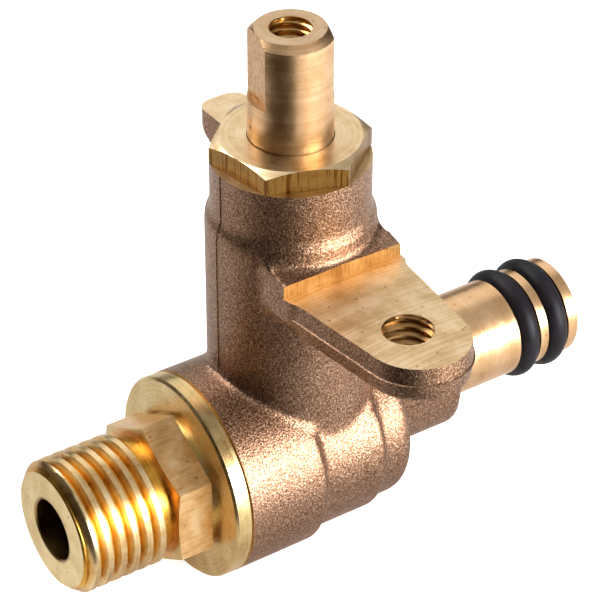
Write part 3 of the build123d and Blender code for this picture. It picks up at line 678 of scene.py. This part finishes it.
for station, reach in ((0, inlet_bore + bore_edge), (bore_edge, inlet_bore), (counterbore_front, inlet_bore),
                       (counterbore_front, counterbore), (tail_end, counterbore), (tail_end, tail_radius),
                       (joint_x, tail_radius), (joint_x, flange_radius - flange_edge),
                       (joint_x - flange_edge, flange_radius), (flange_front + flange_edge, flange_radius),
                       (flange_front, flange_radius - flange_edge), (flange_front, neck_reach),
                       (neck_front, neck_reach), (neck_front, relief_radius)):
    ring = next_ring(nipple_mesh, ring, nipple_axis, (0, 0, 0), station, reach)
bmesh.ops.bridge_loops(nipple_mesh, edges=ring + rear)
# The thread and its relief take the thread's finish, with its painted shade in the grooves and the relief.
for face in nipple_mesh.faces:
    middle = face.calc_center_median()
    in_relief = thread_end < middle.x < neck_front and math.hypot(middle.y, middle.z) > inlet_bore + 1
    face.material_index = 0 if face in threaded or in_relief else 1
bmesh.ops.recalc_face_normals(nipple_mesh, faces=nipple_mesh.faces)
nipple = new_object(nipple_mesh, "inlet_nipple_turned", thread_brass, turned_nipple)
bar = bmesh.new()
hex_corner = hex_half_flats / math.cos(math.pi / 6)
hull(bar, [point for x in (hex_front, hex_back)
           for point in circle_points((x, 0, 0), (0, 0, 1), (0, 1, 0), hex_corner, 6)])
hexagon = new_object(bar, "nipple_hexagon", drawn_brass)
tool = bmesh.new()
hex_hole, hex_clear, hex_steps = relief_radius - 0.05, hex_corner + 0.03, 120
turned(tool, [(hex_front, hex_hole), (hex_front, hex_half_flats), (hex_front + hex_bevel, hex_clear),
              (hex_back, hex_clear), (hex_back, hex_hole), (hex_front, hex_hole)], "X", (0, 0, 0), hex_steps)
machine(hexagon, new_object(tool, "corner_tool", turned_nipple), "INTERSECT")
machine(nipple, hexagon, "UNION")
finish_piece(nipple, "housing", "turned_brass", "inlet_nipple")


# The washer carrier and its fixings at the foot of the stem: a turned brass jumper on a clip of spring wire, and
# the brass screw that holds the rubber washer to it. All lie inside the tower.
turned_inside = machined_brass("turned_inside", (stem_x, 0, 0), upright, 9000, 9000, straw, (0.22, 0.36), 0.2)
for node in ("washer_carrier", "washer_screw"):
    dress(node, turned_inside)
dress("carrier_clip", spring_steel)


# The bonnet: a hexagon plug turned from drawn bar and screwed into the tower. Its top is faced and chamfered,
# and its six sides keep the lengthwise lines of the drawn bar; the sides are also darkened as painted shade.
def facing_mask(material, way, low, high):
    """One where the surface faces along way or against it, nought where it is turned aside."""
    tree = material.node_tree
    place = new_node(tree, "ShaderNodeTexCoord")
    dot = new_node(tree, "ShaderNodeVectorMath", operation="DOT_PRODUCT")
    tree.links.new(place.outputs["Normal"], dot.inputs[0])
    dot.inputs[1].default_value = way
    size = new_node(tree, "ShaderNodeMath", operation="ABSOLUTE")
    tree.links.new(dot.outputs["Value"], size.inputs[0])
    return add_range(tree, size.outputs[0], 0.0, 1.0, low, high)


def streaks(material, mask, scale, low, high):
    """Lines drawn along the axis with the smallest scale, kept where the mask is one."""
    tree = material.node_tree
    place = new_node(tree, "ShaderNodeTexCoord")
    stretch = new_node(tree, "ShaderNodeMapping", Scale=scale)
    tree.links.new(place.outputs["Object"], stretch.inputs["Vector"])
    drawn = new_node(tree, "ShaderNodeTexNoise", Scale=1.0, Detail=2.0, Roughness=0.6)
    tree.links.new(stretch.outputs["Vector"], drawn.inputs["Vector"])
    kept = new_node(tree, "ShaderNodeMath", operation="MULTIPLY")
    tree.links.new(add_range(tree, drawn.outputs["Fac"], 1.0, 0.0, low, high), kept.inputs[0])
    tree.links.new(mask, kept.inputs[1])
    return kept.outputs[0]


turned_bonnet = machined_brass("turned_bonnet", (stem_x, 0, 0), upright, 6000, 7000, straw, (0.26, 0.4), 0.22)
up_or_down = facing_mask(turned_bonnet, (0, 0, 1), 0.1, 0.4)
shaded_sides = add_range(turned_bonnet.node_tree, up_or_down, 1.0, 0.0, 0.0, 1.0)
# Painted shade: the six sides are darkened against the top and the chamfer.
tint(turned_bonnet, shaded_sides, (0.46, 0.34, 0.16))
tint(turned_bonnet, streaks(turned_bonnet, shaded_sides, (3500, 3500, 150), 0.42, 0.5), (0.5, 0.38, 0.28))
dress("bonnet", turned_bonnet)


# The stem: turned from brass rod and satin from the tool, with two milled flats for the knob and a tapped hole
# for its screw. It turns in the bonnet and rises out of it.
stem_radius, stem_minor, stem_major, stem_pitch, stem_tap_depth = 4.2, 2.07, 2.5, 0.8, 8.9
satin_stem = machined_brass("satin_stem", (stem_x, 0, 0), upright, 2600, 3000, rose, (0.26, 0.38), 1.0)
# Painted shade: the stem's top face is made greyer and darker.
tint(satin_stem, facing_mask(satin_stem, (0, 0, 1), 0.9, 0.97), (0.76, 0.82, 0.90))
flat_bearing = math.radians(-12.5)
on_flats = facing_mask(satin_stem, (math.cos(flat_bearing), math.sin(flat_bearing), 0), 0.985, 0.995)
tint(satin_stem, on_flats, (0.80, 0.78, 0.72))
tint(satin_stem, streaks(satin_stem, on_flats, (2500, 2500, 1800), 0.4, 0.52), (0.78, 0.66, 0.52))
tree = satin_stem.node_tree
# A nick in the stem's side: the dent is not modelled, and its painted shade is a small dark spot.
place = new_node(tree, "ShaderNodeTexCoord")
nick = new_node(tree, "ShaderNodeVectorMath", operation="DISTANCE")
tree.links.new(place.outputs["Object"], nick.inputs[0])
nick_bearing, nick_z = math.radians(170), 37.7
nick_place = (stem_x + stem_radius * math.cos(nick_bearing), stem_radius * math.sin(nick_bearing), nick_z)
nick.inputs[1].default_value = [c / 1000 for c in nick_place]
tint(satin_stem, add_range(tree, nick.outputs["Value"], 1.0, 0.0, 0.00014, 0.00028), (0.2, 0.14, 0.1))
dress("spindle", satin_stem)
tapped_stem = machined_brass("tapped_stem", (stem_x, 0, 0), upright, 5000, 5000, gold, (0.2, 0.36), 0.2)
stem_thread = tapped_hole("spindle_thread", (stem_x, 0.0), stem_high.z, stem_high.z - stem_tap_depth,
                          stem_minor, stem_major, stem_pitch, tapped_stem, satin_stem)
finish_piece(stem_thread, "stem", "turned_brass")


# The studio, in metres: a plain floor just under the barrel, white to the camera, a broad light behind the valve
# and one above it, a low light at the camera's right, a smaller one behind at its left, and a dark card in front
# that only reflections show.
floor_z, floor_half_size = -0.0112, 3.0
ground = bmesh.new()
bmesh.ops.create_grid(ground, x_segments=8, y_segments=8, size=floor_half_size)
bmesh.ops.translate(ground, verts=ground.verts, vec=(0, 0, floor_z))
pale_floor, tree, shader = new_material("pale_floor", 0.0)
shader.inputs["Roughness"].default_value = 0.8
shader.inputs["Emission Color"].default_value = (0.75, 0.75, 0.75, 1.0)
sight = new_node(tree, "ShaderNodeLightPath")
tree.links.new(sight.outputs["Is Camera Ray"], shader.inputs["Emission Strength"])
place = new_node(tree, "ShaderNodeTexCoord")
cloud = new_node(tree, "ShaderNodeTexNoise", Scale=2.0, Detail=2.0)
tree.links.new(place.outputs["Object"], cloud.inputs["Vector"])
add_ramp(tree, cloud.outputs["Fac"], shader.inputs["Base Color"],
         [(0.3, (0.86, 0.86, 0.86)), (0.7, (0.88, 0.88, 0.88))])
new_object(ground, "floor", pale_floor)

look_at = Vector((stem_x, 0.0, 12.0)) / 1000
camera_back = (-0.463, -0.680, 0.5686)
facing = math.atan2(camera_back[1], camera_back[0])
card_corners = ((0.034, -0.25, -0.0108), (0.5, 0.024, -0.0106))
card_mesh = bmesh.new()
block(card_mesh, *card_corners)
bmesh.ops.rotate(card_mesh, verts=card_mesh.verts, cent=(0, 0, 0), matrix=Matrix.Rotation(facing, 3, "Z"))
bmesh.ops.translate(card_mesh, verts=card_mesh.verts, vec=(stem_x / 1000, 0, 0))
dark_card, tree, shader = new_material("dark_card", 0.0)
place = new_node(tree, "ShaderNodeTexCoord")
cloud = new_node(tree, "ShaderNodeTexNoise", Scale=20.0, Detail=2.0)
tree.links.new(place.outputs["Object"], cloud.inputs["Vector"])
add_ramp(tree, cloud.outputs["Fac"], shader.inputs["Base Color"],
         [(0.3, (0.022, 0.015, 0.010)), (0.7, (0.030, 0.020, 0.014))])
card = new_object(card_mesh, "dark_card", dark_card)
card.visible_camera = False
card.visible_diffuse = False
card.visible_shadow = False


def soft_light(name, turn, rise, distance, width, height, power):
    """A soft light, turned to the camera's right by turn degrees and raised above the valve by rise degrees."""
    bearing = facing + math.radians(turn)
    lift = math.radians(rise)
    way = Vector((math.cos(bearing) * math.cos(lift), math.sin(bearing) * math.cos(lift), math.sin(lift)))
    data = bpy.data.lights.new(name, "AREA")
    data.shape = "RECTANGLE"
    data.size = width
    data.size_y = height
    data.energy = power
    made = bpy.data.objects.new(name, data)
    made.location = look_at + way * distance
    made.rotation_euler = (-way).to_track_quat("-Z", "Y").to_euler()
    bpy.context.scene.collection.objects.link(made)


soft_light("right_light", 60, 12, 0.55, 0.40, 0.21, 5.0)
soft_light("left_light", -120, 55, 0.55, 0.30, 0.30, 1.8)
soft_light("back_light", 180, 38, 0.8, 1.0, 0.6, 2.1)
soft_light("top_light", 60, 68, 0.8, 1.1, 1.1, 2.1)
world = bpy.data.worlds.new("studio")
world.use_nodes = True
world.node_tree.nodes["Background"].inputs["Color"].default_value = (0.035, 0.028, 0.022, 1.0)
bpy.context.scene.world = world
bpy.context.scene.view_settings.view_transform = "Standard"

camera_place, camera_right = (-0.1053, -0.1981, 0.1817), (0.8266, -0.5628, 0.0)
lens = bpy.data.cameras.new("camera")
lens.lens = 174.6
lens.sensor_width = 36.0
camera = bpy.data.objects.new("camera", lens)
right = Vector(camera_right)
back = Vector(camera_back).normalized()
up = back.cross(right).normalized()
right = up.cross(back)
turn = Matrix((right, up, back)).transposed().to_4x4()
camera.matrix_world = Matrix.Translation(camera_place) @ turn
bpy.context.scene.collection.objects.link(camera)
bpy.context.scene.camera = camera
